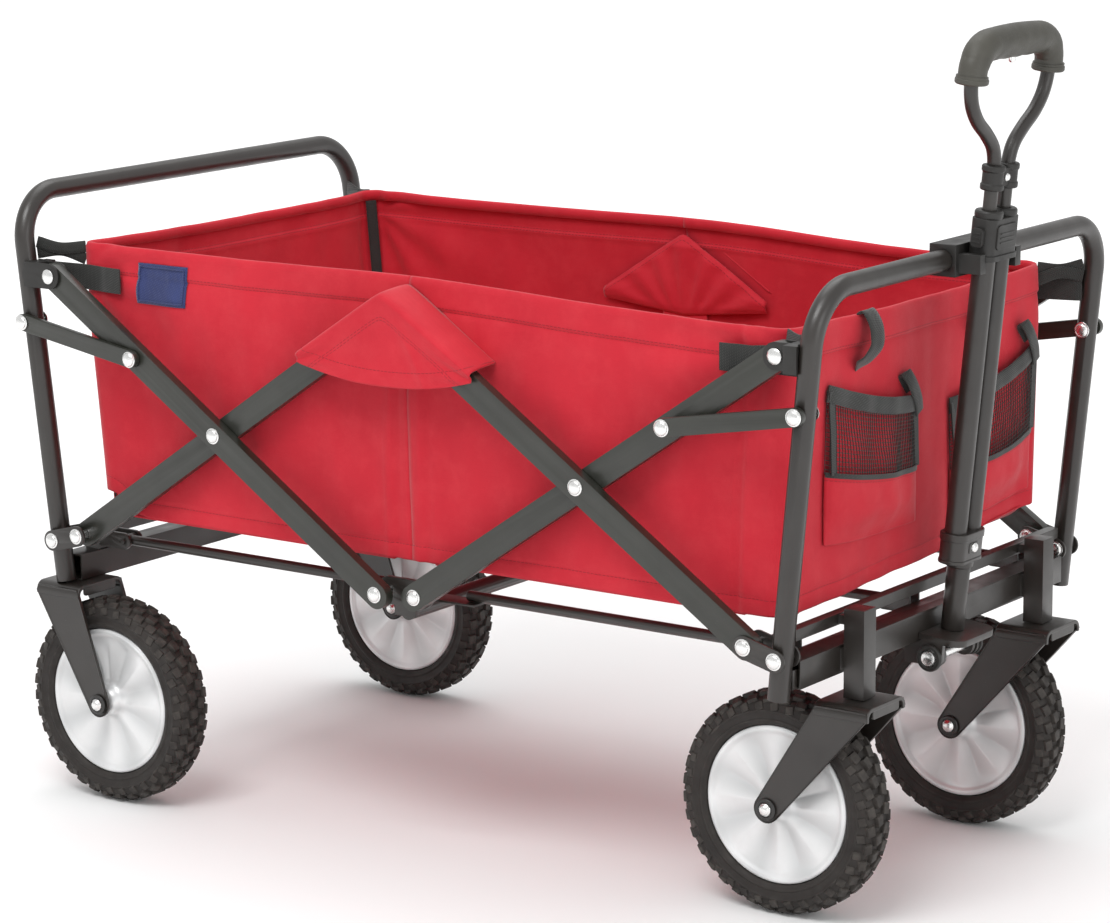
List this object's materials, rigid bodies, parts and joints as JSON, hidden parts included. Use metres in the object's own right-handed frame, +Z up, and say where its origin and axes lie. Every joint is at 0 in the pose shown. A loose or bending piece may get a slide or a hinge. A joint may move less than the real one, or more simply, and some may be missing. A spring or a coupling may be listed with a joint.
{
  "type": "folding camp wagon",
  "caption": "Folding fabric wagon: leaning tube end frames joined by crossed side bars, cloth basket, fixed rear and swivelling front wheels, tilting telescopic pull handle.",
  "frame": {"origin": "ground point under the centre of the bounding box", "axes": "+X to the handle end, +Y to the far side, +Z up"},
  "size_m": [0.9565, 0.54, 0.7706],
  "materials": {
    "frame_coat": "satin charcoal powder coat",
    "bar_coat": "satin olive-black powder coat",
    "zinc_rivet": "bright zinc",
    "tyre": "moulded, matte",
    "wheel_disc": "silver, turned look",
    "basket_cloth": "woven polyester",
    "webbing": "woven strap",
    "patch_cloth": "plain woven patch",
    "black_plastic": "moulded",
    "grip_plastic": "moulded, fine grain"
  },
  "bodies": {
    "rear_frame": {"rear_u_frame": "frame_coat", "rear_cross_bars": "frame_coat", "rear_forks": "frame_coat", "rear_axles": "zinc_rivet", "rear_brackets": "frame_coat", "rear_frame_rivets": "zinc_rivet", "rear_panel": "basket_cloth", "side_panel_near": "basket_cloth", "side_panel_far": "basket_cloth", "rear_straps": "webbing", "side_patch": "patch_cloth"},
    "rear_wheel_near": {"rear_tyre_near": "tyre", "rear_disc_near": "wheel_disc"},
    "rear_wheel_far": {"rear_tyre_far": "tyre", "rear_disc_far": "wheel_disc"},
    "rear_rising": {"rear_rising_bars": "bar_coat", "rear_mid_rivets": "zinc_rivet"},
    "rear_falling": {"rear_falling_bars": "bar_coat", "rear_top_caps": "black_plastic"},
    "bottom_hub": {"centre_crossbar": "frame_coat", "bottom_hub_rivets": "zinc_rivet", "floor_centre": "basket_cloth"},
    "top_hub": {"top_hub_plates": "frame_coat", "hub_flaps": "basket_cloth"},
    "front_falling": {"front_falling_bars": "bar_coat", "front_mid_rivets": "zinc_rivet"},
    "front_rising": {"front_rising_bars": "bar_coat", "front_top_caps": "black_plastic"},
    "front_frame": {"front_u_frame": "frame_coat", "front_cross_bars": "frame_coat", "front_brackets": "frame_coat", "front_frame_rivets": "zinc_rivet", "keeper_clip": "black_plastic", "front_panel": "basket_cloth", "pocket_left": "basket_cloth", "pocket_right": "basket_cloth", "front_straps": "webbing"},
    "caster_near": {"caster_fork_near": "frame_coat", "caster_axle_near": "zinc_rivet"},
    "caster_far": {"caster_fork_far": "frame_coat", "caster_axle_far": "zinc_rivet"},
    "front_wheel_near": {"front_tyre_near": "tyre", "front_disc_near": "wheel_disc"},
    "front_wheel_far": {"front_tyre_far": "tyre", "front_disc_far": "wheel_disc"},
    "handle": {"handle_foot": "frame_coat", "handle_bolt": "zinc_rivet", "handle_lower_tube": "frame_coat", "handle_outer_tubes": "frame_coat", "latch_body": "black_plastic"},
    "handle_slide": {"handle_loop": "frame_coat", "handle_grip": "grip_plastic"},
    "latch": {"latch_button": "black_plastic"},
    "rear_stays": {"rear_stays": "bar_coat"},
    "front_stays": {"front_stays": "bar_coat"},
    "rear_rods": {"rear_floor_rods": "frame_coat", "floor_rear": "basket_cloth"},
    "front_rods": {"front_floor_rods": "frame_coat", "floor_front": "basket_cloth"}
  },
  "joints": [
    {"name": "fold", "type": "hinge", "parent": "rear_frame", "child": "rear_rising", "pos_m": [-0.39799, 0, 0.26326], "axis": [0, -1, 0], "range_deg": [0, 46.1], "deforming": ["side_panel_near", "side_panel_far"]},
    {"name": "rear_cross_pivot", "type": "hinge", "parent": "rear_rising", "child": "rear_falling", "pos_m": [-0.22427, 0, 0.38], "axis": [0, -1, 0], "range_deg": [-92.25, 0]},
    {"name": "bottom_hub_pivot", "type": "hinge", "parent": "rear_falling", "child": "bottom_hub", "pos_m": [-0.03727, 0, 0.25434], "axis": [0, -1, 0], "range_deg": [0, 46.15]},
    {"name": "top_hub_pivot", "type": "hinge", "parent": "rear_rising", "child": "top_hub", "pos_m": [-0.03727, 0, 0.50566], "axis": [0, -1, 0], "range_deg": [-46.15, 0]},
    {"name": "front_falling_pivot", "type": "hinge", "parent": "top_hub", "child": "front_falling", "pos_m": [-0.00127, 0, 0.50566], "axis": [0, -1, 0], "range_deg": [-46.15, 0]},
    {"name": "front_cross_pivot", "type": "hinge", "parent": "front_falling", "child": "front_rising", "pos_m": [0.18573, 0, 0.38], "axis": [0, -1, 0], "range_deg": [0, 92.25]},
    {"name": "front_frame_pivot", "type": "hinge", "parent": "front_falling", "child": "front_frame", "pos_m": [0.35945, 0, 0.26326], "axis": [0, -1, 0], "range_deg": [0, 46.15]},
    {"name": "rear_stay_pivot", "type": "hinge", "parent": "rear_frame", "child": "rear_stays", "pos_m": [-0.45434, 0, 0.4664], "axis": [0, -1, 0], "range_deg": [0, 67.3]},
    {"name": "front_stay_pivot", "type": "hinge", "parent": "front_frame", "child": "front_stays", "pos_m": [0.41137, 0, 0.4664], "axis": [0, -1, 0], "range_deg": [-69.21, 0]},
    {"name": "rear_rods_hinge", "type": "hinge", "parent": "rear_frame", "child": "rear_rods", "pos_m": [-0.38527, 0, 0.25], "axis": [0, -1, 0], "range_deg": [0, 85.33]},
    {"name": "front_rods_hinge", "type": "hinge", "parent": "front_frame", "child": "front_rods", "pos_m": [0.34673, 0, 0.25], "axis": [0, -1, 0], "range_deg": [-85.33, 0]},
    {"name": "rear_near_spin", "type": "hinge", "parent": "rear_frame", "child": "rear_wheel_near", "pos_m": [-0.37727, -0.23, 0.1], "axis": [0, 1, 0], "continuous": true},
    {"name": "rear_far_spin", "type": "hinge", "parent": "rear_frame", "child": "rear_wheel_far", "pos_m": [-0.37727, 0.23, 0.1], "axis": [0, 1, 0], "continuous": true},
    {"name": "near_swivel", "type": "hinge", "parent": "front_frame", "child": "caster_near", "pos_m": [0.41273, -0.16, 0.205], "axis": [0, 0, 1], "continuous": true},
    {"name": "far_swivel", "type": "hinge", "parent": "front_frame", "child": "caster_far", "pos_m": [0.41273, 0.16, 0.205], "axis": [0, 0, 1], "continuous": true},
    {"name": "front_near_spin", "type": "hinge", "parent": "caster_near", "child": "front_wheel_near", "pos_m": [0.33873, -0.16, 0.1], "axis": [0, 1, 0], "continuous": true},
    {"name": "front_far_spin", "type": "hinge", "parent": "caster_far", "child": "front_wheel_far", "pos_m": [0.33873, 0.16, 0.1], "axis": [0, 1, 0], "continuous": true},
    {"name": "handle_tilt", "type": "hinge", "parent": "front_frame", "child": "handle", "pos_m": [0.41073, 0, 0.212], "axis": [0, 1, 0], "range_deg": [0, 80]},
    {"name": "handle_extend", "type": "slide", "parent": "handle", "child": "handle_slide", "axis": [0.0993, 0, 0.9951], "range_m": [0, 0.24]},
    {"name": "latch_press", "type": "slide", "parent": "handle", "child": "latch", "axis": [0, 1, 0], "range_m": [0, 0.0035], "stiffness_N_per_m": 400, "springref_m": -0.001}
  ],
  "couplings": [
    {"joint": "rear_cross_pivot", "follows": "fold", "ratio": -2},
    {"joint": "bottom_hub_pivot", "follows": "fold", "ratio": 1},
    {"joint": "top_hub_pivot", "follows": "fold", "ratio": -1},
    {"joint": "front_falling_pivot", "follows": "fold", "ratio": -1},
    {"joint": "front_cross_pivot", "follows": "fold", "ratio": 2},
    {"joint": "front_frame_pivot", "follows": "fold", "ratio": 1},
    {"joint": "rear_stay_pivot", "follows": "fold", "ratio": 1.4587},
    {"joint": "front_stay_pivot", "follows": "fold", "ratio": -1.5003},
    {"joint": "rear_rods_hinge", "follows": "fold", "ratio": 1.85},
    {"joint": "front_rods_hinge", "follows": "fold", "ratio": -1.85}
  ]
}
